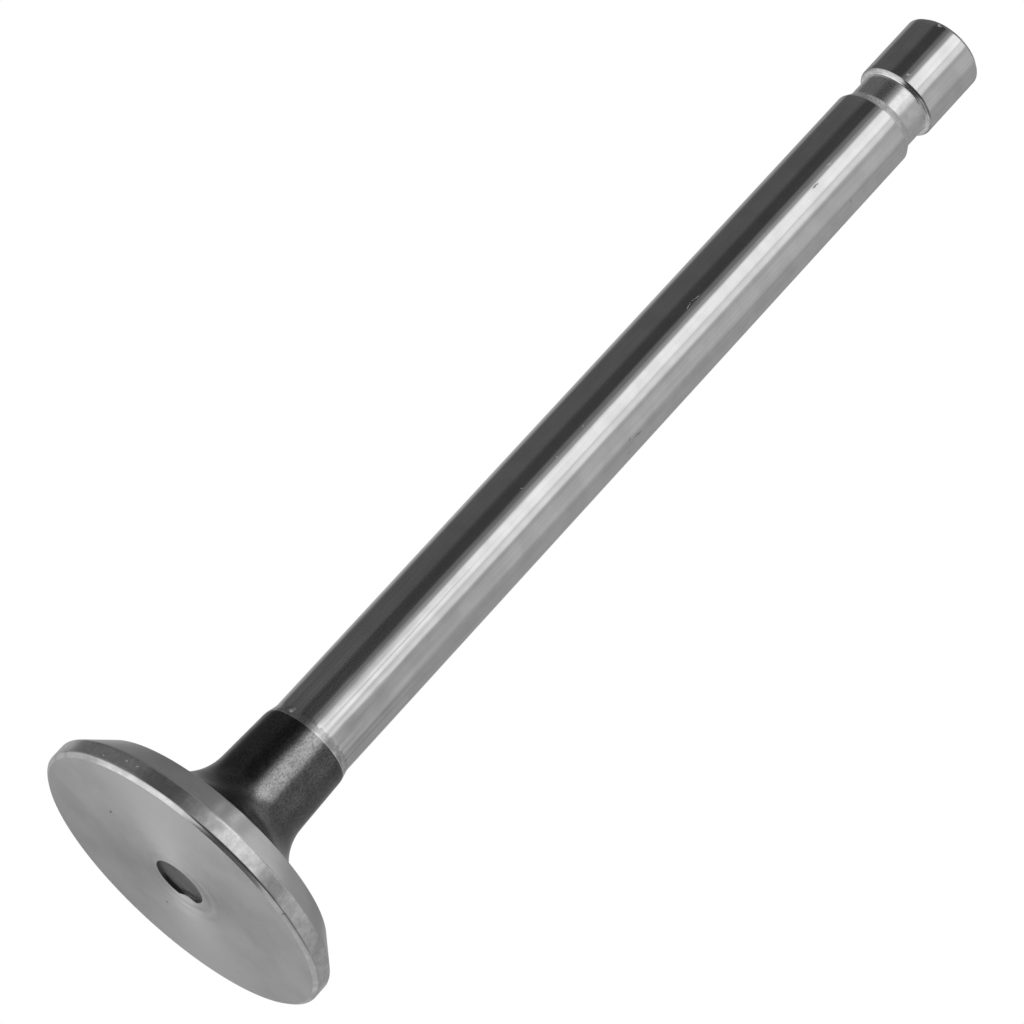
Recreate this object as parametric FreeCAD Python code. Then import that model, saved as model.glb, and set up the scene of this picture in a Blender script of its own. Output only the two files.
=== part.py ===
import FreeCAD, Part

import math
import os

# Poppet valve of a piston engine: one forged and ground piece of steel.
# It stands on its head. The origin is the centre of the flat combustion face,
# and +Z runs along the stem to its tip. All sizes are millimetres.

# Stem
STEM_DIAMETER = 9.45
OVERALL_LENGTH = 126.65
LEAD_CONE_LENGTH = 1.3        # from the forged neck down to the ground stem
GROUND_STEM_BOTTOM = 20.0     # height above the combustion face

# Head
HEAD_DIAMETER = 34.7
FACE_EDGE_WIDTH = 0.46        # broken edge between face and margin, measured across
FACE_EDGE_HEIGHT = 0.34
MARGIN_HEIGHT = 2.05          # face to the bottom of the seat
SEAT_HEIGHT = 2.75            # along the axis
SEAT_ANGLE = 45.0             # from the face plane

# Underhead and neck
UNDERHEAD_ANGLE = 19.0        # from the face plane
NECK_FILLET_RADIUS = 6.5
NECK_TOP_DIAMETER = 10.1      # just below the lead cone
NECK_TAPER_ANGLE = 2.2        # from the axis

# Centre recess in the combustion face
RECESS_DIAMETER = 5.82
RECESS_DEPTH = 0.5
RECESS_CORNER_RADIUS = 0.25

# Keeper groove and tip
GROOVE_DIAMETER = 8.18
GROOVE_LEAD_LENGTH = 1.2      # taper from the stem down to the groove floor
GROOVE_FLOOR_LENGTH = 3.05
GROOVE_ROOT_RADIUS = 0.15     # between floor and shoulder
SHOULDER_BREAK = 0.22         # chamfer on the shoulder's outer edge
TIP_LENGTH = 8.95             # shoulder to the end of the tip
TIP_CHAMFER = 0.5


class Outline:
    """Half outline of a turned piece, drawn point by point in the XZ plane."""

    def __init__(self, radius, height):
        self.point = FreeCAD.Vector(radius, 0, height)
        self.edges = []

    def line_to(self, radius, height):
        """Draw a straight edge to the given radius and height."""
        end = FreeCAD.Vector(radius, 0, height)
        self.edges.append(Part.LineSegment(self.point, end).toShape())
        self.point = end

    def arc_to(self, radius, height, centre_radius, centre_height):
        """Draw the shorter arc about a centre to the given radius and height."""
        end = FreeCAD.Vector(radius, 0, height)
        centre = FreeCAD.Vector(centre_radius, 0, centre_height)
        arc_radius = (self.point - centre).Length
        halfway = (self.point + end) * 0.5 - centre
        middle = centre + halfway.normalize() * arc_radius
        self.edges.append(Part.Arc(self.point, middle, end).toShape())
        self.point = end

    def revolve(self):
        """Turn the closed outline once around the axis into a solid."""
        face = Part.Face(Part.Wire(self.edges))
        return face.revolve(FreeCAD.Vector(0, 0, 0), FreeCAD.Vector(0, 0, 1), 360)


def draw_recess(outline):
    """Draw the flat-bottomed recess from its centre out to the combustion face."""
    wall = RECESS_DIAMETER / 2
    corner = wall - RECESS_CORNER_RADIUS
    corner_height = RECESS_DEPTH - RECESS_CORNER_RADIUS
    outline.line_to(corner, RECESS_DEPTH)
    outline.arc_to(wall, corner_height, corner, corner_height)
    outline.line_to(wall, 0)


def draw_head(outline):
    """Draw the combustion face, its broken edge, the margin and the seat."""
    head_radius = HEAD_DIAMETER / 2
    seat_width = SEAT_HEIGHT / math.tan(math.radians(SEAT_ANGLE))
    outline.line_to(head_radius - FACE_EDGE_WIDTH, 0)
    outline.line_to(head_radius, FACE_EDGE_HEIGHT)
    outline.line_to(head_radius, MARGIN_HEIGHT)
    outline.line_to(head_radius - seat_width, MARGIN_HEIGHT + SEAT_HEIGHT)


def draw_neck(outline):
    """Draw the underhead cone, the large neck fillet, the taper and the lead cone."""
    underhead = math.radians(UNDERHEAD_ANGLE)
    taper = math.radians(NECK_TAPER_ANGLE)
    top_radius = NECK_TOP_DIAMETER / 2
    top_height = GROUND_STEM_BOTTOM - LEAD_CONE_LENGTH

    # Unit vectors square to the underhead cone and to the neck, out of the metal
    cone_normal = FreeCAD.Vector(math.sin(underhead), 0, math.cos(underhead))
    neck_normal = FreeCAD.Vector(math.cos(taper), 0, math.sin(taper))

    # The fillet's centre is one fillet radius off both lines
    cone_offset = cone_normal.dot(outline.point) + NECK_FILLET_RADIUS
    neck_top = FreeCAD.Vector(top_radius, 0, top_height)
    neck_offset = neck_normal.dot(neck_top) + NECK_FILLET_RADIUS
    cross = cone_normal.x * neck_normal.z - cone_normal.z * neck_normal.x
    centre_radius = (cone_offset * neck_normal.z - neck_offset * cone_normal.z) / cross
    centre_height = (neck_offset * cone_normal.x - cone_offset * neck_normal.x) / cross
    centre = FreeCAD.Vector(centre_radius, 0, centre_height)

    fillet_start = centre - cone_normal * NECK_FILLET_RADIUS
    fillet_end = centre - neck_normal * NECK_FILLET_RADIUS
    outline.line_to(fillet_start.x, fillet_start.z)
    outline.arc_to(fillet_end.x, fillet_end.z, centre.x, centre.z)
    outline.line_to(top_radius, top_height)
    outline.line_to(STEM_DIAMETER / 2, GROUND_STEM_BOTTOM)


def draw_keeper_groove(outline):
    """Draw the ground stem up to the groove, its floor and its square shoulder."""
    stem_radius = STEM_DIAMETER / 2
    floor_radius = GROOVE_DIAMETER / 2
    shoulder = OVERALL_LENGTH - TIP_LENGTH
    floor_bottom = shoulder - GROOVE_FLOOR_LENGTH
    root_height = shoulder - GROOVE_ROOT_RADIUS
    root_radius = floor_radius + GROOVE_ROOT_RADIUS
    outline.line_to(stem_radius, floor_bottom - GROOVE_LEAD_LENGTH)
    outline.line_to(floor_radius, floor_bottom)
    outline.line_to(floor_radius, root_height)
    outline.arc_to(root_radius, shoulder, root_radius, root_height)
    outline.line_to(stem_radius - SHOULDER_BREAK, shoulder)
    outline.line_to(stem_radius, shoulder + SHOULDER_BREAK)


def draw_tip(outline):
    """Draw the cylinder above the groove and its chamfered flat end."""
    stem_radius = STEM_DIAMETER / 2
    outline.line_to(stem_radius, OVERALL_LENGTH - TIP_CHAMFER)
    outline.line_to(stem_radius - TIP_CHAMFER, OVERALL_LENGTH)
    outline.line_to(0, OVERALL_LENGTH)


def make_valve():
    """Return the whole valve as one turned solid."""
    outline = Outline(0, RECESS_DEPTH)
    draw_recess(outline)
    draw_head(outline)
    draw_neck(outline)
    draw_keeper_groove(outline)
    draw_tip(outline)
    outline.line_to(0, RECESS_DEPTH)
    return outline.revolve()


valve = make_valve()
box = valve.BoundBox
print("solids", len(valve.Solids), "valid", valve.isValid(), "volume mm3", round(valve.Volume, 2))
print("box mm", round(box.XLength, 3), round(box.YLength, 3), round(box.ZLength, 3), "bottom", round(box.ZMin, 3))
os.makedirs("parts", exist_ok=True)
valve.exportStep("parts/valve.step")
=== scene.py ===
import logging
import math
from collections.abc import Sequence
from dataclasses import dataclass
from enum import Enum
from typing import ClassVar

import bpy
from mathutils import Matrix, Vector


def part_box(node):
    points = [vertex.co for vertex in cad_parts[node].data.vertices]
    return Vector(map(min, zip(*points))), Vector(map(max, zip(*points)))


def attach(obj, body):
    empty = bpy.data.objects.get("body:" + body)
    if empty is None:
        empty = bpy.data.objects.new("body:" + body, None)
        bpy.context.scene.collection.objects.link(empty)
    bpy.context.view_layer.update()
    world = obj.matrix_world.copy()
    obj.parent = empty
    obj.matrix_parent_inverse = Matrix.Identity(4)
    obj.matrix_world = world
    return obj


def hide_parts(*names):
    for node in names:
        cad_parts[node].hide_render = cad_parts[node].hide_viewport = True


# A poppet valve stands on its head, in metres, with its stem along +Z.
# Azimuths run from the side that faces the camera (-Y), positive towards +X.

MM = 0.001
Point = tuple[float, float]
Triple = tuple[float, float, float]
Socket = bpy.types.NodeSocket

log = logging.getLogger("valve")
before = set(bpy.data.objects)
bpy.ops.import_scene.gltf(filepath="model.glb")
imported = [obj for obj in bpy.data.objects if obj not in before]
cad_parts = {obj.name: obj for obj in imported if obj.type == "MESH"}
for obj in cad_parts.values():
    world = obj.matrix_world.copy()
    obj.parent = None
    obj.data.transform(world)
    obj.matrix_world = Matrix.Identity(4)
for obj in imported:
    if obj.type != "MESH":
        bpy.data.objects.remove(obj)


class Zone(Enum):
    """Stretches of the valve that carry a finish of their own."""

    RECESS = "recess_floor"
    WALL = "recess_wall"
    FACE = "combustion_face"
    EDGE = "face_edge"
    MARGIN = "margin"
    SEAT = "seat"
    NECK = "forged_neck"
    LEAD = "lead_cone"
    STEM = "ground_stem"
    GROOVE = "keeper_groove"
    SHOULDER = "groove_shoulder"
    TIP = "tip"
    END = "tip_end"


class NodeBench:
    """Adds and joins the nodes of one procedural shader."""

    def __init__(self, tree: bpy.types.NodeTree) -> None:
        """Start from an empty tree.

        Args:
            tree: The material's or world's node tree, which is cleared.
        """
        self.tree = tree
        self.tree.nodes.clear()

    def add(self, kind: str, **settings: object) -> bpy.types.Node:
        """Add one node.

        Args:
            kind: Node type without its ShaderNode prefix.
            settings: Properties to set on the node.

        Returns:
            The new node.
        """
        node = self.tree.nodes.new("ShaderNode" + kind)
        for name, value in settings.items():
            setattr(node, name, value)
        return node

    def feed(self, target: Socket, value: object) -> None:
        """Join a socket to an input, or write a plain value into it.

        Args:
            target: The input socket.
            value: Another node's output socket, a number or a colour.
        """
        if isinstance(value, bpy.types.NodeSocket):
            self.tree.links.new(value, target)
        else:
            target.default_value = value

    def math(self, operation: str, *values: object, clamp: bool = False) -> Socket:
        """Do one sum.

        Args:
            operation: Name of the Math node's operation.
            values: Up to three sockets or numbers.
            clamp: Whether the result is kept within 0 and 1.

        Returns:
            The result's socket.
        """
        node = self.add("Math", operation=operation, use_clamp=clamp)
        for index, value in enumerate(values):
            self.feed(node.inputs[index], value)
        return node.outputs[0]

    def remap(self, value: object, low: float, high: float, to_low: float, to_high: float) -> Socket:
        """Map a value smoothly from one range to another.

        Args:
            value: Socket to map.
            low: Start of the first range.
            high: End of the first range.
            to_low: Result at the start.
            to_high: Result at the end.

        Returns:
            The mapped value's socket.
        """
        node = self.add("MapRange", interpolation_type="SMOOTHSTEP")
        for name, number in zip(("From Min", "From Max", "To Min", "To Max"), (low, high, to_low, to_high)):
            node.inputs[name].default_value = number
        self.feed(node.inputs["Value"], value)
        return node.outputs[0]

    def mix(self, share: object, under: object, over: object) -> Socket:
        """Blend two numbers.

        Args:
            share: How much of the second number shows, 0 to 1.
            under: First socket or number.
            over: Second socket or number.

        Returns:
            The blend's socket.
        """
        node = self.add("Mix", data_type="FLOAT")
        self.feed(node.inputs[0], share)
        self.feed(node.inputs[2], under)
        self.feed(node.inputs[3], over)
        return node.outputs[0]

    def place(self, stretch: Triple = (1.0, 1.0, 1.0)) -> Socket:
        """Give the point on the piece, stretched along its axes.

        Args:
            stretch: How many times denser a pattern gets along X, Y and Z.

        Returns:
            The vector's socket.
        """
        mapping = self.add("Mapping")
        mapping.inputs["Scale"].default_value = stretch
        self.feed(mapping.inputs["Vector"], self.add("TexCoord").outputs["Object"])
        return mapping.outputs[0]

    def noise(
        self, place: Socket, grain: float, detail: float = 2.0, contrast: float = 0.5,
    ) -> bpy.types.Node:
        """Add a cloudy pattern.

        Args:
            place: Point that the pattern reads.
            grain: Size of its clouds, in millimetres.
            detail: How many finer layers it has.
            contrast: How strong the finer layers are.

        Returns:
            The pattern's node. Its Fac runs from about 0.3 to 0.7.
        """
        node = self.add("TexNoise")
        node.inputs["Scale"].default_value = 1.0 / (grain * MM)
        node.inputs["Detail"].default_value = detail
        node.inputs["Roughness"].default_value = contrast
        self.feed(node.inputs["Vector"], place)
        return node

    def fade(self, place: Socket, span: Point, first: float, last: float) -> Socket:
        """Change smoothly from one number to another between two places in millimetres."""
        return self.remap(place, span[0] * MM, span[1] * MM, first, last)

    def axes(self) -> tuple[Socket, Socket, Socket]:
        """Read the point on the piece.

        Returns:
            Sockets of its X, Y and Z.
        """
        split = self.add("SeparateXYZ")
        self.feed(split.inputs[0], self.add("TexCoord").outputs["Object"])
        return tuple(split.outputs)

    def azimuth(self) -> Socket:
        """Give the point's azimuth, in radians."""
        x, y, _ = self.axes()
        return self.math("ARCTAN2", x, self.math("MULTIPLY", y, -1.0))

    def radius(self) -> Socket:
        """Measure how far the point lies from the valve's axis.

        Returns:
            The distance's socket.
        """
        flat = self.add("VectorMath", operation="LENGTH")
        self.feed(flat.inputs[0], self.place((1.0, 1.0, 0.0)))
        return flat.outputs["Value"]

    def grey(self, value: object) -> Socket:
        """Turn a number into a grey colour.

        Args:
            value: Socket or number.

        Returns:
            The colour's socket.
        """
        node = self.add("CombineColor")
        for index in range(3):
            self.feed(node.inputs[index], value)
        return node.outputs[0]


@dataclass(frozen=True)
class Mark:
    """A nick, scratch or speck, or a patch of painted light or shade, as a soft-edged spot in its own box.

    Sizes are half sizes in millimetres: across, through and along. The core is the share of
    them within which the mark is at full strength. The tone is a factor on the metal's own.
    """

    THROUGH: ClassVar[float] = 0.4
    CORE: ClassVar[float] = 0.4

    centre: Triple
    size: Triple
    tilt: float
    azimuth: float
    tone: float
    roughness: float

    @classmethod
    def on_stem(
        cls, azimuth: float, height: float, width: float, length: float,
        tilt: float = 0.0, tone: float = 1.0, roughness: float = 0.6, radius: float = 4.725,
    ) -> "Mark":
        """Place a mark on a cylinder about the axis.

        Args:
            azimuth: Where it lies round the axis, in degrees.
            height: Height of its middle, in millimetres.
            width: Half its width round the axis.
            length: Half its length along the axis.
            tilt: Its slant, in degrees.
            tone: How much brighter its metal is.
            roughness: How rough its metal is.
            radius: Radius of the cylinder.

        Returns:
            The mark.
        """
        turn = math.radians(azimuth)
        centre = (radius * math.sin(turn), -radius * math.cos(turn), height)
        return cls(centre, (width, cls.THROUGH, length), tilt, azimuth, tone, roughness)

    @classmethod
    def on_face(
        cls, x: float, y: float, width: float, length: float,
        azimuth: float = 0.0, tone: float = 0.5, roughness: float = 0.6,
    ) -> "Mark":
        """Place a mark on the combustion face, by X and Y in millimetres."""
        return cls((x, y, 0.0), (width, length, cls.THROUGH), 0.0, azimuth, tone, roughness)

    def mask(self, bench: NodeBench, here: Socket) -> Socket:
        """Give 1 inside the mark and 0 around it.

        Args:
            bench: Where the nodes are laid out.
            here: Point on the piece, a little ragged.

        Returns:
            The mask's socket.
        """
        box = bench.add("Mapping", vector_type="TEXTURE")
        box.inputs["Location"].default_value = [value * MM for value in self.centre]
        box.inputs["Rotation"].default_value = (0, math.radians(self.tilt), math.radians(self.azimuth))
        box.inputs["Scale"].default_value = [value * MM for value in self.size]
        bench.feed(box.inputs["Vector"], here)
        away = bench.add("VectorMath", operation="LENGTH")
        bench.feed(away.inputs[0], box.outputs[0])
        return bench.remap(away.outputs["Value"], self.CORE, 1.0, 1.0, 0.0)


@dataclass(frozen=True)
class PaintedLightDrift:
    """A slow change of tone along one axis, between two places in millimetres. It is painted light: one
    side, end or rim of a zone made lighter or darker for how the light falls on it.

    Axes 0, 1 and 2 are X, Y and Z, and the two ends of the change are factors on the tone.
    """

    axis: int
    start: float
    end: float
    first: float
    last: float

    def share(self, bench: NodeBench) -> Socket:
        """Give the factor of painted light on the tone."""
        return bench.fade(bench.axes()[self.axis], (self.start, self.end), self.first, self.last)


@dataclass(frozen=True)
class CentreRings:
    """The few uneven rings that the tool left close round the centre recess, in millimetres.

    They wander a little off the round, come and go in patches, and fade towards the rim and
    towards -X. Depths and strengths are shares.
    """

    depth: float = 0.12
    first_crest: float = 3.3
    pitch: float = 1.45
    fade: Point = (3.4, 7.0)
    side_fade: Point = (-2.5, 3.0)
    faintest: float = 0.25
    wander: float = 0.4
    wander_size: float = 3.0
    patch_size: float = 1.5
    patch_span: Point = (0.38, 0.62)
    patch_strength: Point = (0.3, 1.6)

    def share(self, bench: NodeBench) -> Socket:
        """Lay out the rings, clearer towards +X than towards -X.

        Args:
            bench: Where the nodes are laid out.

        Returns:
            Socket of the factor on the tone.
        """
        cloud = bench.noise(bench.place(), self.wander_size).outputs["Fac"]
        radius = bench.math("ADD", bench.radius(), bench.math("MULTIPLY", cloud, self.wander * MM))
        beyond = bench.math("SUBTRACT", radius, self.first_crest * MM)
        turns = bench.math("MULTIPLY", beyond, 2 * math.pi / (self.pitch * MM))
        depth = bench.fade(radius, self.fade, self.depth, 0.0)
        side = bench.fade(bench.axes()[0], self.side_fade, self.faintest, 1.0)
        patches = bench.noise(bench.place(), self.patch_size).outputs["Fac"]
        patches = bench.remap(patches, *self.patch_span, *self.patch_strength)
        depth = bench.math("MULTIPLY", bench.math("MULTIPLY", depth, side), patches)
        return bench.math("MULTIPLY_ADD", bench.math("COSINE", turns), depth, 1.0)


@dataclass(frozen=True)
class PaintedSheen:
    """Painted sheen: two lighter and two darker sectors in a turned face's tone, strongest near its centre.

    The azimuth, in degrees, is the middle of a light sector. The fade is in millimetres.
    """

    depth: float = 0.17
    azimuth: float = -38.0
    fade: Point = (5.0, 14.0)
    rim_share: float = 0.3

    def share(self, bench: NodeBench) -> Socket:
        """Paint two lighter and two darker sectors of sheen.

        Args:
            bench: Where the nodes are laid out.

        Returns:
            Socket of the factor on the tone.
        """
        doubled = bench.math("MULTIPLY_ADD", bench.azimuth(), 2.0, -2 * math.radians(self.azimuth))
        depth = bench.fade(bench.radius(), self.fade, self.depth, self.rim_share * self.depth)
        return bench.math("MULTIPLY_ADD", bench.math("COSINE", doubled), depth, 1.0)


@dataclass(frozen=True)
class Skin:
    """The thin hard gloss of forge scale, which shows where the neck faces the eye.

    It grows in between two heights in millimetres, and fades between two values of Facing.
    The turn, in degrees round the axis, shifts its middle to one side.
    """

    strength: float
    rise: Point
    facing: Point = (0.058, 0.090)
    turn: float = -1.5
    ior: float = 3.8

    def weight(self, bench: NodeBench, tone: Socket, plain_tone: float) -> Socket:
        """Give the weight of the gloss.

        Args:
            bench: Where the nodes are laid out.
            tone: Socket of the finished tone, whose specks the gloss shares.
            plain_tone: The tone without its specks.

        Returns:
            The weight's socket.
        """
        level = bench.add("Mapping", vector_type="VECTOR")
        bench.feed(level.inputs["Vector"], bench.add("NewGeometry").outputs["Normal"])
        level.inputs["Scale"].default_value = (1.0, 1.0, 0.0)
        level.inputs["Rotation"].default_value = (0.0, 0.0, math.radians(self.turn))
        sideways = bench.add("VectorMath", operation="NORMALIZE")
        bench.feed(sideways.inputs[0], level.outputs[0])
        layer = bench.add("LayerWeight")
        bench.feed(layer.inputs["Normal"], sideways.outputs[0])
        weight = bench.remap(layer.outputs["Facing"], *self.facing, self.strength / plain_tone, 0.0)
        weight = bench.math("MULTIPLY", weight, bench.fade(bench.axes()[2], self.rise, 0.0, 1.0))
        return bench.math("MULTIPLY", weight, tone, clamp=True)


@dataclass(frozen=True)
class RunOut:
    """The ragged end of the stem's grinding, with the rougher foot above it, in millimetres.

    The bare metal below the edge is a little darker, and streaks and waves are several times
    stronger at the foot than higher up.
    """

    height: float = 19.7
    calm_height: float = 46.0
    tooth_size: float = 0.6
    tooth_length: float = 1.4
    edge_width: float = 0.12
    edge_tone: float = 0.72
    bare_tone: float = 0.80
    bare_roughness: float = 0.26
    foot_roughness: float = 0.06
    foot_streaks: float = 4.0
    foot_waves: float = 4.0

    def foot(self, bench: NodeBench) -> Socket:
        """Give 1 at the stem's foot and 0 from the calm height on."""
        return bench.fade(bench.axes()[2], (self.height, self.calm_height), 1.0, 0.0)

    def end_grinding(self, bench: NodeBench, tone: Socket, rough: Socket) -> tuple[Socket, Socket]:
        """Leave the metal below the ragged edge unground.

        Args:
            bench: Where the nodes are laid out.
            tone: Socket of the tone so far.
            rough: Socket of the roughness so far.

        Returns:
            Sockets of the new tone and roughness.
        """
        teeth = bench.noise(bench.place(), self.tooth_size, detail=3.0, contrast=0.6).outputs["Fac"]
        teeth = bench.math("SUBTRACT", teeth, 0.5)
        place = bench.math("MULTIPLY_ADD", teeth, self.tooth_length * MM, bench.axes()[2])
        top = self.height + self.edge_width
        bare = bench.fade(place, (self.height, top), 1.0, 0.0)
        edge = bench.fade(place, (top, top + self.edge_width), self.edge_tone, 1.0)
        tone = bench.math("MULTIPLY", tone, bench.mix(bare, edge, self.bare_tone))
        return tone, bench.mix(bare, rough, self.bare_roughness)


@dataclass(frozen=True)
class SteelFinish:
    """Finish of one zone: how bright the steel is, how smooth, and what its surface carries.

    The lay is the direction in which a tool ran round the axis. Clouds are broad uneven
    tones, streaks are fine lines along the stem, grain is the roughness that shows as
    specks, and waves are slow hollows that bend a reflection. Sizes and heights are in
    millimetres, and depths are shares of the tone.
    """

    ACROSS_THE_LAY: ClassVar[float] = 0.25
    ROUGHNESS_SPREAD: ClassVar[float] = 0.12
    CLOUD_SPAN: ClassVar[Point] = (0.30, 0.70)
    PATTERN_SPAN: ClassVar[Point] = (0.32, 0.68)
    STREAK_SIZE: ClassVar[float] = 0.35
    STREAK_STRETCH: ClassVar[Triple] = (1.0, 1.0, 0.02)
    GRAIN_STRETCH: ClassVar[Triple] = (1.0, 1.0, 0.6)
    WAVE_STRETCH: ClassVar[Triple] = (1.0, 1.0, 0.35)
    RAGGED_SIZE: ClassVar[float] = 0.45
    RAGGED_REACH: ClassVar[float] = 0.5

    zone: Zone
    tone: float
    roughness: float
    metal: float = 1.0
    lay: float = 0.0
    cloud_size: float = 3.0
    cloud_depth: float = 0.05
    streak_depth: float = 0.0
    grain_size: float = 0.3
    grain_depth: float = 0.0
    grain_height: float = 0.0
    wave_size: float = 2.0
    wave_height: float = 0.0
    painted_light_drift: PaintedLightDrift | None = None
    rings: CentreRings | None = None
    painted_sheen: PaintedSheen | None = None
    skin: Skin | None = None
    run_out: RunOut | None = None
    marks: tuple[Mark, ...] = ()

    def make(self) -> bpy.types.Material:
        """Build the material.

        Returns:
            The new node based material.
        """
        material = bpy.data.materials.new(self.zone.value + "_steel")
        material.use_nodes = True
        bench = NodeBench(material.node_tree)
        steel = bench.add("BsdfPrincipled")
        steel.inputs["Metallic"].default_value = self.metal
        steel.inputs["Anisotropic"].default_value = self.lay
        steel.inputs["Anisotropic Rotation"].default_value = self.ACROSS_THE_LAY
        tone, rough = self.tones(bench)
        tone, rough = self.mark_and_paint_light(bench, tone, rough)
        bench.feed(steel.inputs["Base Color"], bench.grey(tone))
        bench.feed(steel.inputs["Roughness"], rough)
        normal = self.relief(bench)
        if normal is not None:
            bench.feed(steel.inputs["Normal"], normal)
        if self.skin:
            steel.inputs["Coat IOR"].default_value = self.skin.ior
            steel.inputs["Coat Roughness"].default_value = self.roughness
            bench.feed(steel.inputs["Coat Weight"], self.skin.weight(bench, tone, self.tone))
            bench.feed(steel.inputs["Coat Normal"], normal)
        out = bench.add("OutputMaterial")
        bench.feed(out.inputs["Surface"], steel.outputs[0])
        material.diffuse_color = (self.tone, self.tone, self.tone, 1.0)
        material.metallic = self.metal
        material.roughness = self.roughness
        return material

    def vary(self, bench: NodeBench, value: object, pattern: Socket, depth: float) -> Socket:
        """Make a value brighter and darker by a pattern.

        Args:
            bench: Where the nodes are laid out.
            value: Socket or number to vary.
            pattern: Socket of the pattern.
            depth: Greatest change, as a share of the value.

        Returns:
            The varied value's socket.
        """
        factor = bench.remap(pattern, *self.PATTERN_SPAN, 1 - depth, 1 + depth)
        return bench.math("MULTIPLY", value, factor)

    def tones(self, bench: NodeBench) -> tuple[Socket, Socket]:
        """Vary brightness and smoothness over the zone.

        Args:
            bench: Where the nodes are laid out.

        Returns:
            Sockets of the tone and of the roughness.
        """
        cloud = bench.noise(bench.place(), self.cloud_size, detail=3.0).outputs["Fac"]
        tone = self.vary(bench, self.tone, cloud, self.cloud_depth)
        spread = self.ROUGHNESS_SPREAD * self.roughness
        rough = bench.remap(cloud, *self.CLOUD_SPAN, self.roughness + spread, self.roughness - spread)
        if self.streak_depth:
            tone = self.streaks(bench, tone)
        if self.grain_depth:
            place = bench.place(self.GRAIN_STRETCH)
            grain = bench.noise(place, self.grain_size, detail=2.0, contrast=0.6).outputs["Fac"]
            tone = self.vary(bench, tone, grain, self.grain_depth)
        # The rings are the lay's own pattern. The sheen sectors and the slow change of tone along an axis
        # are painted light.
        for pattern in (self.rings, self.painted_sheen, self.painted_light_drift):
            if pattern:
                tone = bench.math("MULTIPLY", tone, pattern.share(bench))
        if self.run_out:
            foot = self.run_out.foot(bench)
            rough = bench.math("MULTIPLY_ADD", foot, self.run_out.foot_roughness, rough)
            tone, rough = self.run_out.end_grinding(bench, tone, rough)
        return tone, rough

    def streaks(self, bench: NodeBench, tone: Socket) -> Socket:
        """Draw fine lines along the stem, stronger at its foot.

        Args:
            bench: Where the nodes are laid out.
            tone: Socket of the tone so far.

        Returns:
            Socket of the new tone.
        """
        place = bench.place(self.STREAK_STRETCH)
        streak = bench.noise(place, self.STREAK_SIZE, detail=3.0, contrast=0.6).outputs["Fac"]
        fine = self.vary(bench, tone, streak, self.streak_depth)
        if not self.run_out:
            return fine
        strong = self.vary(bench, tone, streak, self.run_out.foot_streaks * self.streak_depth)
        return bench.mix(self.run_out.foot(bench), fine, strong)

    def mark_and_paint_light(self, bench: NodeBench, tone: Socket, rough: Socket) -> tuple[Socket, Socket]:
        """Lay the zone's marks over its tone and roughness: nicks and specks, and patches of painted light
        and shade.

        Args:
            bench: Where the nodes are laid out.
            tone: Socket of the tone so far.
            rough: Socket of the roughness so far.

        Returns:
            Sockets of the new tone and roughness.
        """
        if not self.marks:
            return tone, rough
        wobble = bench.add("VectorMath", operation="MULTIPLY_ADD")
        bench.feed(wobble.inputs[0], bench.noise(bench.place(), self.RAGGED_SIZE).outputs["Color"])
        wobble.inputs[1].default_value = (self.RAGGED_REACH * MM,) * 3
        bench.feed(wobble.inputs[2], bench.place())
        centred = bench.add("VectorMath", operation="SUBTRACT")
        bench.feed(centred.inputs[0], wobble.outputs[0])
        centred.inputs[1].default_value = (self.RAGGED_REACH / 2 * MM,) * 3
        for mark in self.marks:
            inside = mark.mask(bench, centred.outputs[0])
            tone = bench.math("MULTIPLY", tone, bench.mix(inside, 1.0, mark.tone))
            rough = bench.mix(inside, rough, mark.roughness)
        return tone, rough

    def relief(self, bench: NodeBench) -> Socket | None:
        """Raise the surface's grain and its slow waves.

        Args:
            bench: Where the nodes are laid out.

        Returns:
            Socket of the normal, or None on a smooth surface.
        """
        normal = None
        if self.wave_height:
            wave = bench.noise(bench.place(self.WAVE_STRETCH), self.wave_size, detail=1.0).outputs["Fac"]
            if self.run_out:
                foot = self.run_out.foot(bench)
                higher = bench.math("MULTIPLY_ADD", foot, self.run_out.foot_waves, 1.0)
                wave = bench.math("MULTIPLY", wave, higher)
            normal = self.bump(bench, wave, self.wave_height, normal)
        if self.grain_height:
            place = bench.place(self.GRAIN_STRETCH)
            grain = bench.noise(place, self.grain_size, detail=3.0, contrast=0.6).outputs["Fac"]
            normal = self.bump(bench, grain, self.grain_height, normal)
        return normal

    def bump(self, bench: NodeBench, height: Socket, depth: float, under: Socket | None) -> Socket:
        """Add one layer of relief.

        Args:
            bench: Where the nodes are laid out.
            height: Socket of the pattern.
            depth: Height of the pattern, in millimetres.
            under: Normal of the layer below, if any.

        Returns:
            Socket of the new normal.
        """
        node = bench.add("Bump")
        node.inputs["Strength"].default_value = 1.0
        node.inputs["Distance"].default_value = depth * MM
        bench.feed(node.inputs["Height"], height)
        if under is not None:
            bench.feed(node.inputs["Normal"], under)
        return node.outputs[0]


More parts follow.
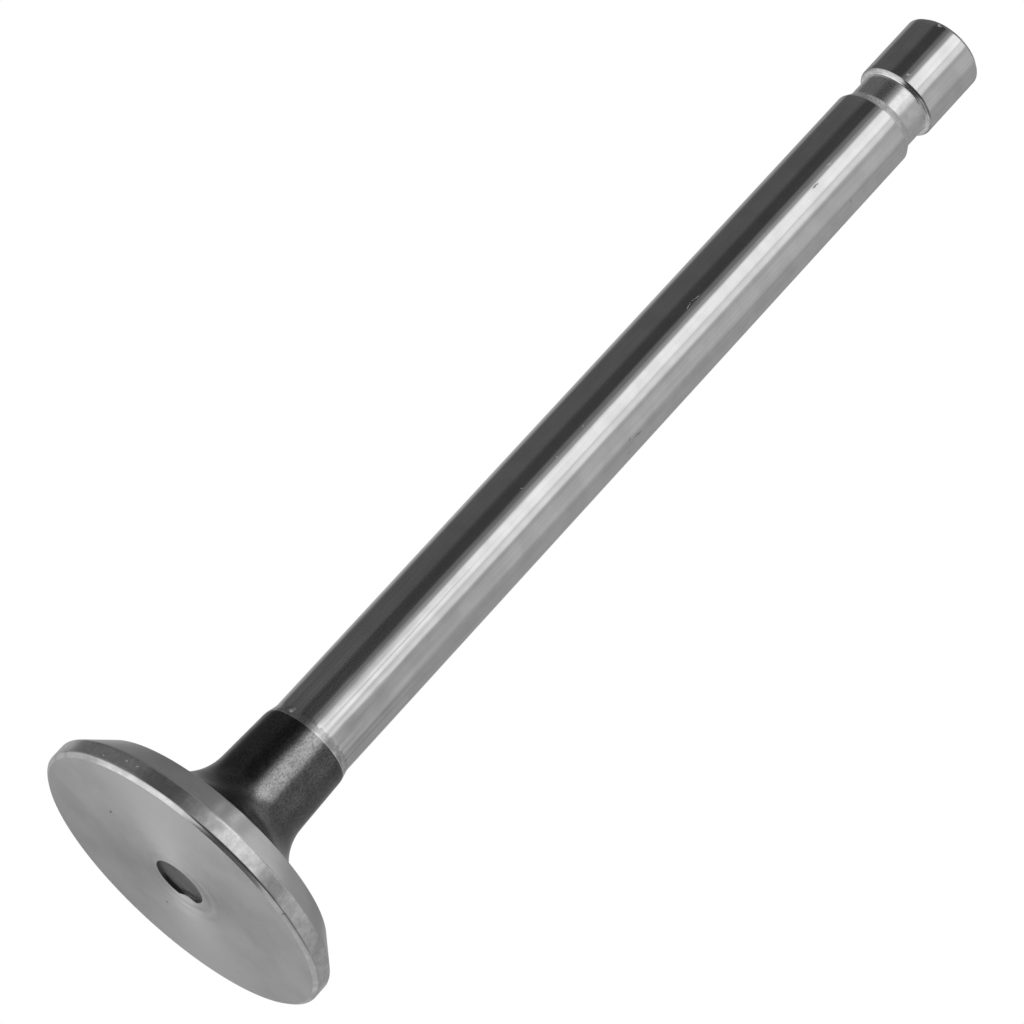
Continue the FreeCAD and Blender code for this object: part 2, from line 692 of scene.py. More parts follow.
STEM_MARKS = (
    Mark.on_stem(48.5, 67.1, 0.08, 0.75, tilt=6, tone=0.35),
    Mark.on_stem(44.0, 65.9, 0.05, 0.30, tilt=-38, tone=0.5),
    Mark.on_stem(62.8, 65.3, 0.10, 0.16, tone=0.4),
    Mark.on_stem(-19.3, 81.1, 0.06, 0.6, tilt=-14, tone=1.6),
    Mark.on_stem(-19.6, 82.3, 0.06, 0.8, tilt=8, tone=1.6),
    Mark.on_stem(-3.6, 101.3, 0.12, 0.55, tone=0.78),
    Mark.on_stem(-10.0, 104.3, 0.14, 0.40, tone=1.5),
    Mark.on_stem(48.7, 103.7, 0.09, 0.24, tilt=-40, tone=0.6),
    Mark.on_stem(-42.0, 19.8, 0.35, 0.30, tone=1.9, roughness=0.3),
    Mark.on_stem(-17.9, 53.3, 0.07, 0.16, tone=1.6),
    Mark.on_stem(-11.6, 58.4, 0.08, 0.14, tone=1.3),
    Mark.on_stem(-14.3, 62.9, 0.09, 0.12, tone=1.5),
)
TIP_MARKS = (
    Mark.on_stem(-12.4, 118.8, 0.10, 0.42, tilt=30, tone=1.5),
    Mark.on_stem(-26.0, 125.98, 0.34, 0.30, tone=1.28, roughness=0.75),
    Mark.on_stem(-25.2, 126.06, 0.17, 0.16, tone=0.30, roughness=0.75),
)
FACE_SPECKS_AND_PAINTED_LIGHT = (
    Mark.on_face(-9.5, -1.8, 0.17, 0.36, tone=0.35),
    Mark.on_face(0.4, 7.8, 0.16, 0.30, tone=0.4),
    Mark.on_face(10.4, 8.9, 0.3, 0.3, tone=0.9),
    # Painted light: two broad, faintly brighter patches on the face.
    Mark.on_face(1.9, 4.4, 2.6, 3.2, tone=1.13, roughness=0.34),
    Mark.on_face(0.3, -6.0, 1.6, 2.4, tone=1.04, roughness=0.34),
)
MARGIN_MARKS = (
    Mark.on_stem(-41.5, 1.35, 0.16, 0.14, tone=2.0, radius=17.35),
    Mark.on_stem(-36.5, 1.5, 0.14, 0.10, tone=1.7, radius=17.35),
    Mark.on_stem(-51.0, 0.9, 0.14, 0.12, tone=1.6, radius=17.35),
)
WALL_PAINTED_SHADE_AND_LIGHT = (
    # Painted shade: a dark patch on the far side of the recess's wall.
    Mark((-0.3, 2.8, 0.2), (2.3, 1.1, 0.9), 0.0, 0.0, 0.20, 0.65),
    # Painted light: a bright patch on the wall behind the burr, lifting the shade that falls there.
    Mark((1.8, 2.2, 0.4), (1.2, 1.2, 0.9), 0.0, 0.0, 3.6, 0.65),
)

FINISHES = (
    # The recess's floor and wall are drawn as dark matt non-metal, the wall darker than the floor.
    SteelFinish(
        Zone.RECESS, tone=0.135, roughness=0.60, metal=0.0, grain_depth=0.12, grain_height=0.004,
        # Painted light: a lighter patch on the recess's floor behind the burr, where the burr's shade
        # falls.
        marks=(Mark((1.7, 1.8, 0.5), (1.1, 1.0, 0.6), 0.0, 0.0, 1.6, 0.60),),
    ),
    SteelFinish(
        Zone.WALL, tone=0.09, roughness=0.65, metal=0.0, cloud_size=0.8, cloud_depth=0.15, marks=WALL_PAINTED_SHADE_AND_LIGHT,
    ),
    SteelFinish(
        Zone.FACE, tone=0.52, roughness=0.36, lay=0.8, cloud_size=5.0, cloud_depth=0.04, grain_depth=0.02,
        # Painted light: the face lighter at the front (-Y) than at the back, and painted sheen in two
        # lighter and two darker sectors.
        painted_light_drift=PaintedLightDrift(1, -17, 17, 1.13, 0.91), rings=CentreRings(), painted_sheen=PaintedSheen(), marks=FACE_SPECKS_AND_PAINTED_LIGHT,
    ),
    SteelFinish(
        Zone.EDGE, tone=0.72, roughness=0.18, cloud_size=1.5, cloud_depth=0.12,
        marks=(Mark.on_stem(32.6, 0.30, 0.22, 0.12, tone=0.7, radius=17.25),),
    ),
    SteelFinish(
        Zone.MARGIN, tone=0.70, roughness=0.21, metal=0.96, lay=0.3, cloud_size=1.6, cloud_depth=0.10,
        grain_size=0.45, grain_depth=0.08, grain_height=0.0025, marks=MARGIN_MARKS,
    ),
    SteelFinish(
        Zone.SEAT, tone=0.62, roughness=0.20, lay=0.5, cloud_size=3.0, cloud_depth=0.04,
        # Painted light: the seat lighter at its front than further back, and a painted highlight, a
        # brighter patch on its front below the stem.
        painted_light_drift=PaintedLightDrift(1, -16, -7, 1.06, 0.76),
        marks=(Mark((-1.25, -15.95, 3.4), (1.5, 4.0, 4.0), 0.0, -4.0, 1.48, 0.22),),
    ),
    SteelFinish(
        Zone.NECK, tone=0.14, roughness=0.22, cloud_size=2.5, cloud_depth=0.12,
        grain_size=0.16, grain_depth=0.30, grain_height=0.005, skin=Skin(0.82, rise=(9.3, 10.7)),
        # Painted shade: a darker patch on the front of the neck's fillet, near the seat.
        marks=(Mark((-2.2, -6.1, 8.9), (3.2, 3.2, 1.9), 0.0, -20.0, 0.6, 0.26),),
    ),
    SteelFinish(
        Zone.LEAD, tone=0.62, roughness=0.24, lay=0.4, cloud_size=0.9, cloud_depth=0.16,
        # Painted highlight: a bright line along the lead cone's lower rim.
        grain_depth=0.12, painted_light_drift=PaintedLightDrift(2, 18.92, 19.1, 1.4, 1.0),
        marks=(Mark.on_stem(-43.0, 19.6, 0.35, 0.35, tone=2.2, radius=4.85),),
    ),
    SteelFinish(
        Zone.STEM, tone=0.78, roughness=0.12, lay=0.7, cloud_size=2.5, cloud_depth=0.05, streak_depth=0.04,
        wave_size=1.6, wave_height=0.006,
        # Painted shade: the stem a little darker towards its foot, up to 55 mm.
        painted_light_drift=PaintedLightDrift(2, 20, 55, 0.91, 1.0), run_out=RunOut(), marks=STEM_MARKS,
    ),
    SteelFinish(
        Zone.GROOVE, tone=0.80, roughness=0.26, lay=0.5, cloud_size=1.0, cloud_depth=0.06,
        # Painted light: the groove lighter towards -X than towards +X.
        wave_height=0.002, painted_light_drift=PaintedLightDrift(0, -4.0, 4.0, 1.18, 0.98),
    ),
    SteelFinish(
        Zone.SHOULDER, tone=0.62, roughness=0.16, cloud_size=0.5, cloud_depth=0.12, grain_height=0.003,
        # Painted highlight: a bright line along the shoulder's lower edge.
        painted_light_drift=PaintedLightDrift(2, 117.68, 117.76, 1.4, 1.0),
    ),
    SteelFinish(
        Zone.TIP, tone=0.78, roughness=0.12, lay=0.7, cloud_size=2.5, cloud_depth=0.05, streak_depth=0.04,
        wave_size=1.6, wave_height=0.006, marks=TIP_MARKS,
    ),
    SteelFinish(Zone.END, tone=0.40, roughness=0.45, cloud_size=1.0, cloud_depth=0.1, marks=TIP_MARKS[1:]),
)


class Lathe:
    """Turns one closed solid, ring by ring, out of a flat disc."""

    SEGMENTS = 256

    def __init__(self, name: str) -> None:
        """Set up the lathe, still empty.

        Args:
            name: Name of the piece that it turns.
        """
        self.name = name
        self.radius = 0.0
        self.height = 0.0

    def start(self, radius: float, height: float) -> None:
        """Lay down the first disc.

        Args:
            radius: Radius of the disc, in millimetres.
            height: Height of the disc, in millimetres.
        """
        bpy.ops.object.select_all(action="DESELECT")
        bpy.ops.mesh.primitive_circle_add(
            vertices=self.SEGMENTS, radius=radius * MM, fill_type="NGON", location=(0, 0, height * MM)
        )
        bpy.context.object.name = self.name
        bpy.ops.object.transform_apply(location=True, rotation=True, scale=True)
        bpy.ops.object.mode_set(mode="EDIT")
        bpy.ops.mesh.select_all(action="SELECT")
        self.radius = radius
        self.height = height

    def turn_to(self, radius: float, height: float) -> None:
        """Draw the open rim on to a new place.

        Args:
            radius: The rim's new radius, in millimetres.
            height: The rim's new height, in millimetres.
        """
        bpy.ops.mesh.extrude_region_move(
            TRANSFORM_OT_translate={"value": (0, 0, (height - self.height) * MM)}
        )
        scale = radius / self.radius
        bpy.ops.transform.resize(value=(scale, scale, 1), center_override=(0, 0, height * MM))
        self.radius = radius
        self.height = height

    def turn_straight(self, radius: float, height: float, steps: int) -> None:
        """Draw the open rim on in even steps.

        Args:
            radius: Radius at the end, in millimetres.
            height: Height at the end, in millimetres.
            steps: How many bands the stretch is cut into.
        """
        start_radius, start_height = self.radius, self.height
        for step in range(1, steps + 1):
            share = step / steps
            self.turn_to(
                start_radius + (radius - start_radius) * share,
                start_height + (height - start_height) * share,
            )

    def turn_round(self, radius: float, height: float, centre: Point, steps: int) -> None:
        """Draw on along an arc to a new radius and height.

        Args:
            radius: Radius at the arc's end, in millimetres.
            height: Height at the arc's end, in millimetres.
            centre: Radius and height of the arc's centre, in millimetres.
            steps: How many straight bands stand for the arc.
        """
        arc = math.hypot(self.radius - centre[0], self.height - centre[1])
        start = math.atan2(self.height - centre[1], self.radius - centre[0])
        end = math.atan2(height - centre[1], radius - centre[0])
        sweep = math.remainder(end - start, 2 * math.pi)
        for step in range(1, steps + 1):
            angle = start + sweep * step / steps
            self.turn_to(centre[0] + arc * math.cos(angle), centre[1] + arc * math.sin(angle))

    def close(self) -> bpy.types.Object:
        """Close the rim with a flat disc and turn every face outwards.

        Returns:
            The finished object, out of edit mode.
        """
        bpy.ops.mesh.edge_face_add()
        bpy.ops.mesh.select_all(action="SELECT")
        bpy.ops.mesh.normals_make_consistent(inside=False)
        bpy.ops.object.mode_set(mode="OBJECT")
        return bpy.context.object


class Bench:
    """Hand work on the turned piece."""

    def __init__(self, piece: bpy.types.Object) -> None:
        """Take up the piece.

        Args:
            piece: The turned object.
        """
        self.piece = piece
        bpy.ops.object.select_all(action="DESELECT")
        piece.select_set(True)
        bpy.context.view_layer.objects.active = piece

    def clear(self, mode: str) -> None:
        """Select nothing and leave edit mode.

        Args:
            mode: What is picked next, VERT or EDGE.
        """
        bpy.ops.object.mode_set(mode="EDIT")
        bpy.ops.mesh.select_mode(type=mode)
        bpy.ops.mesh.select_all(action="DESELECT")
        bpy.ops.object.mode_set(mode="OBJECT")

    def soften(self, rims: Sequence[Point], width: float) -> None:
        """Bevel whole rims.

        Args:
            rims: Radius and height of each rim, in millimetres.
            width: Width of the bevel, in millimetres.
        """
        self.clear("EDGE")
        corners = self.piece.data.vertices
        near = 0.004 * MM
        for edge in self.piece.data.edges:
            ends = [corners[index].co for index in edge.vertices]
            for radius, height in rims:
                if all(
                    abs(end.z - height * MM) < near and abs(end.xy.length - radius * MM) < near
                    for end in ends
                ):
                    edge.select = True
        bpy.ops.object.mode_set(mode="EDIT")
        bpy.ops.mesh.bevel(offset=width * MM, segments=3, profile=0.5, affect="EDGES")
        bpy.ops.object.mode_set(mode="OBJECT")

    def press_in(self, spread: Point, reach: Point, radii: Point, depth: float) -> None:
        """Push a small patch of the surface towards the axis.

        Args:
            spread: First and last azimuth of the patch, in degrees.
            reach: Lowest and highest point of the patch, in millimetres.
            radii: Smallest and largest radius of the patch, in millimetres.
            depth: How far it moves, in millimetres.
        """
        self.clear("VERT")
        for corner in self.piece.data.vertices:
            azimuth = math.degrees(math.atan2(corner.co.x, -corner.co.y))
            radius = corner.co.xy.length / MM
            corner.select = (
                spread[0] <= azimuth <= spread[1]
                and reach[0] <= corner.co.z / MM <= reach[1]
                and radii[0] <= radius <= radii[1]
            )
        middle = math.radians((spread[0] + spread[1]) / 2)
        inward = Vector((-math.sin(middle), math.cos(middle), 0)) * depth * MM
        bpy.ops.object.mode_set(mode="EDIT")
        bpy.ops.transform.translate(value=inward)
        bpy.ops.object.mode_set(mode="OBJECT")


@dataclass
class Head:
    """Head of the valve, in millimetres: recess, face, broken edge, margin and seat."""

    radius: float
    recess_radius: float = 2.91
    recess_depth: float = 0.5
    recess_corner: float = 0.25
    centre_disc: float = 1.0
    face_edge_width: float = 0.46
    face_edge_height: float = 0.34
    margin_height: float = 2.05
    seat_height: float = 2.75
    sharp_wear: float = 0.04
    margin_wear: float = 0.14
    burr_band: Point = (-0.05, 0.06)
    burr_reach: Point = (-0.01, 0.1)
    burr_steps: tuple[Triple, ...] = (
        (119.5, 164.5, 0.13), (121.5, 161.5, 0.10), (123.5, 159.5, 0.11), (127.0, 155.5, 0.11),
        (131.0, 151.0, 0.09), (134.0, 149.5, 0.06), (138.0, 142.0, 0.04),
    )

    @property
    def seat_top(self) -> Point:
        """Radius and height of the seat's upper edge."""
        return self.radius - self.seat_height, self.margin_height + self.seat_height

    def turn(self, lathe: Lathe) -> None:
        """Turn the head from the recess's floor to the seat's upper edge.

        Args:
            lathe: The empty lathe.
        """
        corner = (self.recess_radius - self.recess_corner, self.recess_depth - self.recess_corner)
        lathe.start(self.centre_disc, self.recess_depth)
        lathe.turn_to(corner[0], self.recess_depth)
        lathe.turn_round(self.recess_radius, corner[1], corner, steps=5)
        lathe.turn_to(self.recess_radius, 0)
        lathe.turn_straight(self.radius - self.face_edge_width, 0, steps=12)
        lathe.turn_to(self.radius, self.face_edge_height)
        lathe.turn_straight(self.radius, self.margin_height, steps=6)
        lathe.turn_straight(*self.seat_top, steps=8)

    def finish(self, bench: Bench) -> None:
        """Round the worn rims and leave a ragged burr on the recess's rim.

        Args:
            bench: The bench with the turned valve on it.
        """
        margin = [(self.radius, self.face_edge_height), (self.radius, self.margin_height)]
        bench.soften([(self.recess_radius, 0), self.seat_top], self.sharp_wear)
        bench.soften(margin, self.margin_wear)
        self.raise_burr(bench)

    def raise_burr(self, bench: Bench) -> None:
        """Draw the face's metal in over part of the recess's rim, a little unevenly.

        Args:
            bench: The bench with the turned valve on it.
        """
        inner, outer = (self.recess_radius + reach for reach in self.burr_band)
        for start, end, depth in self.burr_steps:
            bench.press_in((start, end), self.burr_reach, (inner, outer), depth)
            inner -= depth


@dataclass
class Neck:
    """Forged underhead and neck, in millimetres and degrees, and the lead cone above them."""

    underhead_angle: float = 19.0
    fillet_radius: float = 6.5
    top_radius: float = 5.05
    taper_angle: float = 2.2
    lead_length: float = 1.3
    lead_top: float = 20.0
    wear: float = 0.25

    @property
    def lead_bottom(self) -> float:
        """Height at which the neck ends and the lead cone begins."""
        return self.lead_top - self.lead_length

    def turn(self, lathe: Lathe, stem_radius: float) -> None:
        """Turn the neck from the seat's upper edge to the ground stem.

        Args:
            lathe: The lathe, which stands at the seat's upper edge.
            stem_radius: Radius of the ground stem.
        """
        underhead = math.radians(self.underhead_angle)
        taper = math.radians(self.taper_angle)
        cone = Vector((math.sin(underhead), math.cos(underhead)))
        side = Vector((math.cos(taper), math.sin(taper)))
        cone_offset = cone.dot(Vector((lathe.radius, lathe.height))) + self.fillet_radius
        side_offset = side.dot(Vector((self.top_radius, self.lead_bottom))) + self.fillet_radius
        centre = Matrix((cone, side)).inverted() @ Vector((cone_offset, side_offset))
        low = centre - cone * self.fillet_radius
        high = centre - side * self.fillet_radius
        lathe.turn_straight(low.x, low.y, steps=6)
        lathe.turn_round(high.x, high.y, tuple(centre), steps=24)
        lathe.turn_straight(self.top_radius, self.lead_bottom, steps=8)
        lathe.turn_straight(stem_radius, self.lead_top, steps=4)

    def finish(self, bench: Bench, stem_radius: float) -> None:
        """Round the two soft rims of the lead cone."""
        bench.soften([(self.top_radius, self.lead_bottom), (stem_radius, self.lead_top)], self.wear)


@dataclass
class Stem:
    """Ground stem with its keeper groove and tip, in millimetres."""

    radius: float
    length: float
    groove_radius: float = 4.09
    groove_lead: float = 1.2
    groove_floor: float = 3.05
    root_radius: float = 0.15
    shoulder_break: float = 0.22
    tip_length: float = 8.95
    tip_chamfer: float = 0.5
    centre_disc: float = 0.5
    wear: float = 0.06
    chip_spread: Point = (-29.0, -23.0)
    chip_reach: Point = (0.03, 0.42)
    chip_radii: Point = (4.1, 4.8)
    chip_depth: float = 0.10

    @property
    def shoulder(self) -> float:
        """Height of the groove's square shoulder."""
        return self.length - self.tip_length

    @property
    def groove_bottom(self) -> float:
        """Height at which the ground stem ends and the groove begins."""
        return self.shoulder - self.groove_floor - self.groove_lead

    @property
    def rims(self) -> tuple[Point, ...]:
        """Radius and height of every sharp rim, from the groove's lead to the end."""
        return (
            (self.radius, self.groove_bottom),
            (self.groove_radius, self.groove_bottom + self.groove_lead),
            (self.radius - self.shoulder_break, self.shoulder),
            (self.radius, self.shoulder + self.shoulder_break),
            (self.radius, self.length - self.tip_chamfer),
            (self.radius - self.tip_chamfer, self.length),
        )

    def turn(self, lathe: Lathe) -> None:
        """Turn the stem, the groove and the tip, from the lead cone to the end.

        Args:
            lathe: The lathe, which stands at the top of the lead cone.
        """
        lead, floor, inner, outer, chamfer, end = self.rims
        root = (self.groove_radius + self.root_radius, self.shoulder - self.root_radius)
        lathe.turn_straight(*lead, steps=30)
        lathe.turn_straight(*floor, steps=4)
        lathe.turn_straight(self.groove_radius, root[1], steps=4)
        lathe.turn_round(root[0], self.shoulder, root, steps=4)
        lathe.turn_to(*inner)
        lathe.turn_to(*outer)
        lathe.turn_straight(*chamfer, steps=12)
        lathe.turn_straight(*end, steps=3)
        lathe.turn_straight(self.centre_disc, self.length, steps=4)

    def finish(self, bench: Bench) -> None:
        """Round the worn rims and chip the tip's edge.

        Args:
            bench: The bench with the turned valve on it.
        """
        bench.soften(self.rims, self.wear)
        edge = self.length - self.tip_chamfer
        reach = (edge + self.chip_reach[0], edge + self.chip_reach[1])
        bench.press_in(self.chip_spread, reach, self.chip_radii, self.chip_depth)


class Valve:
    """The whole valve, one turned piece that stands for the solid of the same name."""

    NODE = "valve"
    SLOT = "valve_steel"
    STEM_RADIUS = 4.725
    CREASE_ANGLE = 28.0
    # How far, in millimetres, a height may be off a level, and a finish goes past its zone's edge.
    HAIR = 0.005
    FLOOR_REACH = 0.05
    EDGE_REACH = 0.1
    SCALE_REACH = 0.2
    GRINDING_REACH = 0.325
    TIP_REACH = 0.02

    def __init__(self) -> None:
        """Take the head's radius and the length from the frame."""
        low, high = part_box(self.NODE)
        self.head = Head(radius=(high[0] - low[0]) / 2 / MM)
        self.neck = Neck()
        self.stem = Stem(radius=self.STEM_RADIUS, length=(high[2] - low[2]) / MM)

    def build(self) -> bpy.types.Object:
        """Turn the valve and dress its zones.

        Returns:
            The finished piece.
        """
        lathe = Lathe("valve_turned")
        self.head.turn(lathe)
        self.neck.turn(lathe, self.STEM_RADIUS)
        self.stem.turn(lathe)
        piece = lathe.close()
        bench = Bench(piece)
        self.neck.finish(bench, self.STEM_RADIUS)
        self.stem.finish(bench)
        self.head.finish(bench)
        bpy.ops.object.shade_smooth_by_angle(angle=math.radians(self.CREASE_ANGLE))
        self.dress(piece)
        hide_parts(self.NODE)
        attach(piece, "root")
        return piece

    def zone_at(self, radius: float, height: float) -> Zone:
        """Tell which zone a point of the surface lies in.

        Args:
            radius: Distance from the axis, in millimetres.
            height: Height above the combustion face, in millimetres.

        Returns:
            The zone.
        """
        head, neck, stem = self.head, self.neck, self.stem
        in_recess = self.HAIR < height < head.recess_depth + self.HAIR
        if in_recess and radius < head.recess_radius + head.sharp_wear:
            return Zone.RECESS if height > head.recess_depth - self.FLOOR_REACH else Zone.WALL
        tops = (
            (self.HAIR, Zone.FACE),
            (head.face_edge_height + self.EDGE_REACH, Zone.EDGE),
            (head.margin_height, Zone.MARGIN),
            (head.seat_top[1], Zone.SEAT),
            (neck.lead_bottom + self.SCALE_REACH, Zone.NECK),
            (neck.lead_top - self.GRINDING_REACH, Zone.LEAD),
            (stem.groove_bottom, Zone.STEM),
            (stem.shoulder - stem.root_radius, Zone.GROOVE),
            (stem.shoulder + stem.shoulder_break, Zone.SHOULDER),
            (stem.length - stem.tip_chamfer + self.TIP_REACH, Zone.TIP),
        )
        for top, zone in tops:
            if height < top:
                return zone
        return Zone.END

    def dress(self, piece: bpy.types.Object) -> None:
        """Give each zone its finish.

        Args:
            piece: The finished shape.
        """
        for finish in FINISHES:
            piece.data.materials.append(finish.make())
        order = [finish.zone for finish in FINISHES]
        for face in piece.data.polygons:
            zone = self.zone_at(face.center.xy.length / MM, face.center.z / MM)
            face.material_index = order.index(zone)


@dataclass(frozen=True)
class Card:
    """One sheet of grey paper on the tent's wall, in degrees. A grey of 1 is white.

    It spreads to both sides of its azimuth and reaches from one elevation to another. Its
    edges blur by the soft angles, to the sides and up and down.
    """

    name: str
    azimuth: float
    spread: float
    low: float
    high: float
    grey: float
    soft: float = 6.0
    soft_rise: float = 6.0

    def over(self, bench: NodeBench, turn: Socket, rise: Socket, under: object) -> Socket:
        """Lay the card over what is on the wall already.

        Args:
            bench: Where the nodes are laid out.
            turn: Socket of the azimuth in degrees.
            rise: Socket of the elevation in degrees.
            under: Grey of the wall so far.

        Returns:
            Socket of the new grey.
        """
        cover = bench.remap(rise, self.low - self.soft_rise, self.low + self.soft_rise, 0.0, 1.0)
        top = bench.remap(rise, self.high - self.soft_rise, self.high + self.soft_rise, 1.0, 0.0)
        cover = bench.math("MULTIPLY", cover, top)
        if self.spread < 180:
            away = bench.math("WRAP", bench.math("SUBTRACT", turn, self.azimuth), 180.0, -180.0)
            away = bench.math("ABSOLUTE", away)
            side = bench.remap(away, self.spread - self.soft, self.spread + self.soft, 1.0, 0.0)
            cover = bench.math("MULTIPLY", cover, side)
        return bench.mix(cover, under, self.grey)


@dataclass
class LightTent:
    """Paper tent round the valve, which the steel mirrors: white panels, black flags, grey paper.

    The radius is in metres, and the paper's grey shows between the cards.
    """

    radius: float = 1.5
    paper: float = 0.31
    cards: tuple[Card, ...] = (
        Card("right ceiling", 100, 82, 44, 110, 0.36, 12, 8),
        Card("left ceiling", -82, 98, 41, 110, 0.205, 8, 7),
        Card("back window", 165, 26, 62, 80, 0.60, 5, 6),
        Card("top light", 84, 106, 68, 120, 0.60, 12, 6),
        Card("left top light", -46, 22, 69, 80, 0.50, 10, 4),
        Card("right wall", 67, 29, -2, 48, 0.47, 11),
        Card("far right wall", 116, 30, -2, 48, 0.345, 8),
        Card("back wall", 186, 26, -8, 30, 0.44, 9, 6),
        Card("dark left wall", -84, 54, 9, 46, 0.094, 11, 13),
        Card("dark left ceiling", -86, 42, 44, 64, 0.13, 10, 5),
        Card("black flag", -48, 18, -4, 50, 0.050, 8),
        Card("dim strip", -25, 7, -4, 50, 0.16, 4),
        Card("dim strip edge", -16, 5.5, -4, 50, 0.33, 4),
        Card("white panel", 3.5, 15, 2, 79, 1.0, 3.5, 5),
        Card("panel corner", -6, 5.4, 0, 20, 0.48, 1.2, 3),
        Card("second panel", 27.3, 8.8, 4, 56, 0.82, 5.5, 8),
        Card("panel joint", 18.8, 1.0, 2, 56, 0.70, 1.2),
        Card("panel cord", 5.0, 1.6, 2, 22, 0.40, 1.0, 3),
        Card("panel frame", 43, 5, -2, 50, 0.42, 3),
        Card("low frame", 45, 9, -6, 20, 0.25, 4, 4),
        Card("ground", 0, 180, -110, -8, 0.50),
        Card("low panel", -105, 72, -78, -40, 0.98, 14, 8),
        Card("low back panel", 180, 24, -72, -40, 0.95, 10, 8),
        Card("low left panel", -72, 45, -50, -20, 0.83, 12, 6),
        Card("low right flag", 72, 38, -50, -12, 0.20, 10),
        Card("low front flag", 14, 42, -84, -6, 0.055, 8),
        Card("dark ground", 0, 180, -110, -79, 0.06, 1, 4),
        Card("dark ground edge", 85, 60, -84, -68, 0.12, 12, 4),
    )

    def build(self) -> bpy.types.Object:
        """Raise the tent, which only reflections see.

        Returns:
            The tent's object.
        """
        bpy.ops.object.select_all(action="DESELECT")
        bpy.ops.mesh.primitive_uv_sphere_add(segments=96, ring_count=48, radius=self.radius)
        tent = bpy.context.object
        tent.name = "light_tent"
        bpy.ops.object.shade_smooth()
        for kind in ("camera", "diffuse", "transmission", "shadow", "volume_scatter"):
            setattr(tent, "visible_" + kind, False)
        tent.data.materials.append(self.wall())
        return tent

    def wall(self) -> bpy.types.Material:
        """Make the tent's wall, with all its cards.

        Returns:
            The glowing paper.
        """
        material = bpy.data.materials.new("tent_paper")
        material.use_nodes = True
        material.cycles.emission_sampling = "NONE"
        bench = NodeBench(material.node_tree)
        turn = bench.math("DEGREES", bench.azimuth())
        height = bench.math("DIVIDE", bench.axes()[2], self.radius)
        rise = bench.math("DEGREES", bench.math("ARCSINE", height))
        grey = self.paper
        for card in self.cards:
            grey = card.over(bench, turn, rise, grey)
        glow = bench.add("Emission")
        glow.inputs["Strength"].default_value = 1.0
        bench.feed(glow.inputs["Color"], bench.grey(grey))
        out = bench.add("OutputMaterial")
        bench.feed(out.inputs["Surface"], glow.outputs[0])
        return material


@dataclass
class Floor:
    """Pale round floor that the valve stands on, in millimetres.

    It is open under the head, clear from below, and fades out between the two radii.
    """

    hole_radius: float = 16.0
    near_radius: float = 300.0
    far_radius: float = 900.0
    tone: float = 0.82

    def build(self) -> bpy.types.Object:
        """Lay the floor.

        Returns:
            The floor's object.
        """
        bpy.ops.object.select_all(action="DESELECT")
        bpy.ops.mesh.primitive_circle_add(vertices=128, radius=self.hole_radius * MM, fill_type="NOTHING")
        floor = bpy.context.object
        floor.name = "floor"
        bpy.ops.object.mode_set(mode="EDIT")
        bpy.ops.mesh.select_all(action="SELECT")
        wider = self.far_radius / self.hole_radius
        bpy.ops.mesh.extrude_edges_move()
        bpy.ops.transform.resize(value=(wider, wider, 1))
        bpy.ops.mesh.select_all(action="SELECT")
        bpy.ops.mesh.normals_make_consistent(inside=False)
        bpy.ops.object.mode_set(mode="OBJECT")
        if floor.data.polygons[0].normal.z < 0:
            floor.data.flip_normals()
        floor.data.materials.append(self.paper())
        return floor

    def paper(self) -> bpy.types.Material:
        """Make the floor's paper, which shows from above and fades into the white around.

        Returns:
            The one-sided paper.
        """
        material = bpy.data.materials.new("floor_paper")
        material.use_nodes = True
        bench = NodeBench(material.node_tree)
        front = bench.math("SUBTRACT", 1.0, bench.add("NewGeometry").outputs["Backfacing"])
        direct = bench.math("SUBTRACT", 1.0, bench.add("LightPath").outputs["Is Glossy Ray"])
        near = bench.remap(bench.radius(), self.near_radius * MM, self.far_radius * MM, 1.0, 0.0)
        shown = bench.math("MULTIPLY", bench.math("MULTIPLY", front, direct), near)
        clear = bench.add("BsdfTransparent")
        matt = bench.add("BsdfDiffuse")
        matt.inputs["Color"].default_value = (self.tone, self.tone, self.tone, 1)
        mix = bench.add("MixShader")
        bench.feed(mix.inputs[0], shown)
        bench.feed(mix.inputs[1], clear.outputs[0])
        bench.feed(mix.inputs[2], matt.outputs[0])
        out = bench.add("OutputMaterial")
        bench.feed(out.inputs["Surface"], mix.outputs[0])
        return material


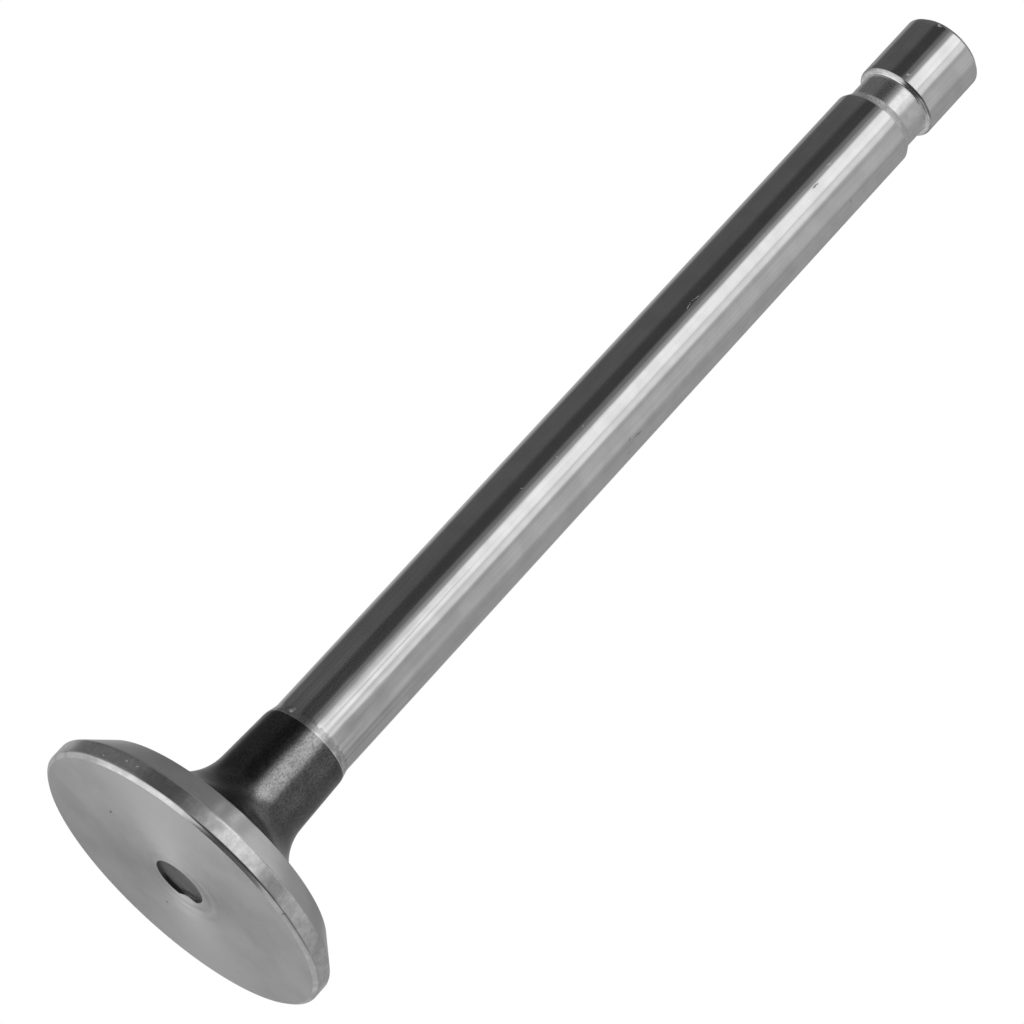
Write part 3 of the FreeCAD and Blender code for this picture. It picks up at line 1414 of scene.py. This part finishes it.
@dataclass
class Studio:
    """White surroundings and one soft lamp at a plain level, in metres, watts and degrees."""

    fill: float = 0.62
    lamp_power: float = 7.0
    lamp_size: float = 0.6
    lamp_azimuth: float = -50.0
    lamp_rise: float = 60.0
    lamp_distance: float = 1.1

    def build(self) -> None:
        """Set the world and hang the lamp."""
        self.light_world()
        self.hang_lamp()
        bpy.context.scene.view_settings.view_transform = "Standard"

    def light_world(self) -> None:
        """Make the surroundings white to look at, and a plain grey fill for matt surfaces."""
        world = bpy.data.worlds.new("studio_white")
        bpy.context.scene.world = world
        world.use_nodes = True
        world.cycles.sampling_method = "NONE"
        bench = NodeBench(world.node_tree)
        path = bench.add("LightPath").outputs
        seen = bench.math("ADD", path["Is Camera Ray"], path["Is Glossy Ray"])
        seen = bench.math("ADD", seen, path["Is Transmission Ray"], clamp=True)
        sky = bench.add("Background")
        sky.inputs["Color"].default_value = (1, 1, 1, 1)
        bench.feed(sky.inputs["Strength"], bench.mix(seen, self.fill, 1.0))
        out = bench.add("OutputWorld")
        bench.feed(out.inputs["Surface"], sky.outputs[0])

    def hang_lamp(self) -> None:
        """Hang one large soft lamp, which gives the floor its shadow."""
        light = bpy.data.lights.new("soft_lamp", "AREA")
        light.shape = "DISK"
        light.size = self.lamp_size
        light.energy = self.lamp_power
        lamp = bpy.data.objects.new("soft_lamp", light)
        bpy.context.scene.collection.objects.link(lamp)
        lamp.visible_glossy = False
        turn, rise = math.radians(self.lamp_azimuth), math.radians(self.lamp_rise)
        away = Vector((math.sin(turn) * math.cos(rise), -math.cos(turn) * math.cos(rise), math.sin(rise)))
        lamp.location = away * self.lamp_distance
        lamp.rotation_euler = (-away).to_track_quat("-Z", "Y").to_euler()


@dataclass
class StudioCamera:
    """Camera of the photograph, in millimetres and degrees.

    It stands below the head and is rolled so that the stem runs up to the right.
    """

    aim_height: float = 52.56
    distance: float = 472.0
    side_step: float = -0.552
    rise: float = 22.865
    roll: float = 42.612
    lens: float = 163.11

    def build(self) -> bpy.types.Object:
        """Place the camera and make it the scene's own.

        Returns:
            The camera's object.
        """
        data = bpy.data.cameras.new("photo_camera")
        data.sensor_width = 36.0
        data.lens = self.lens
        data.clip_start = 0.01
        data.clip_end = 10.0
        camera = bpy.data.objects.new("photo_camera", data)
        bpy.context.scene.collection.objects.link(camera)
        rise = math.radians(self.rise)
        roll = Matrix.Rotation(math.radians(self.roll), 4, "Z")
        turn = Matrix.Rotation(math.radians(90) + rise, 4, "X") @ roll
        forward = Vector((0, math.cos(rise), math.sin(rise)))
        aim = Vector((self.side_step, 0, self.aim_height)) * MM
        camera.matrix_world = Matrix.Translation(aim - forward * self.distance * MM) @ turn
        bpy.context.scene.camera = camera
        return camera


def main() -> None:
    """Build the studio and the valve, and log the valve's faces and finishes."""
    logging.basicConfig(level=logging.INFO, format="%(message)s")
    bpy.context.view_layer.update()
    StudioCamera().build()
    Studio().build()
    LightTent().build()
    Floor().build()
    piece = Valve().build()
    log.info("%s: %d faces in %d finishes", piece.name, len(piece.data.polygons), len(piece.data.materials))


if __name__ == "__main__":
    main()
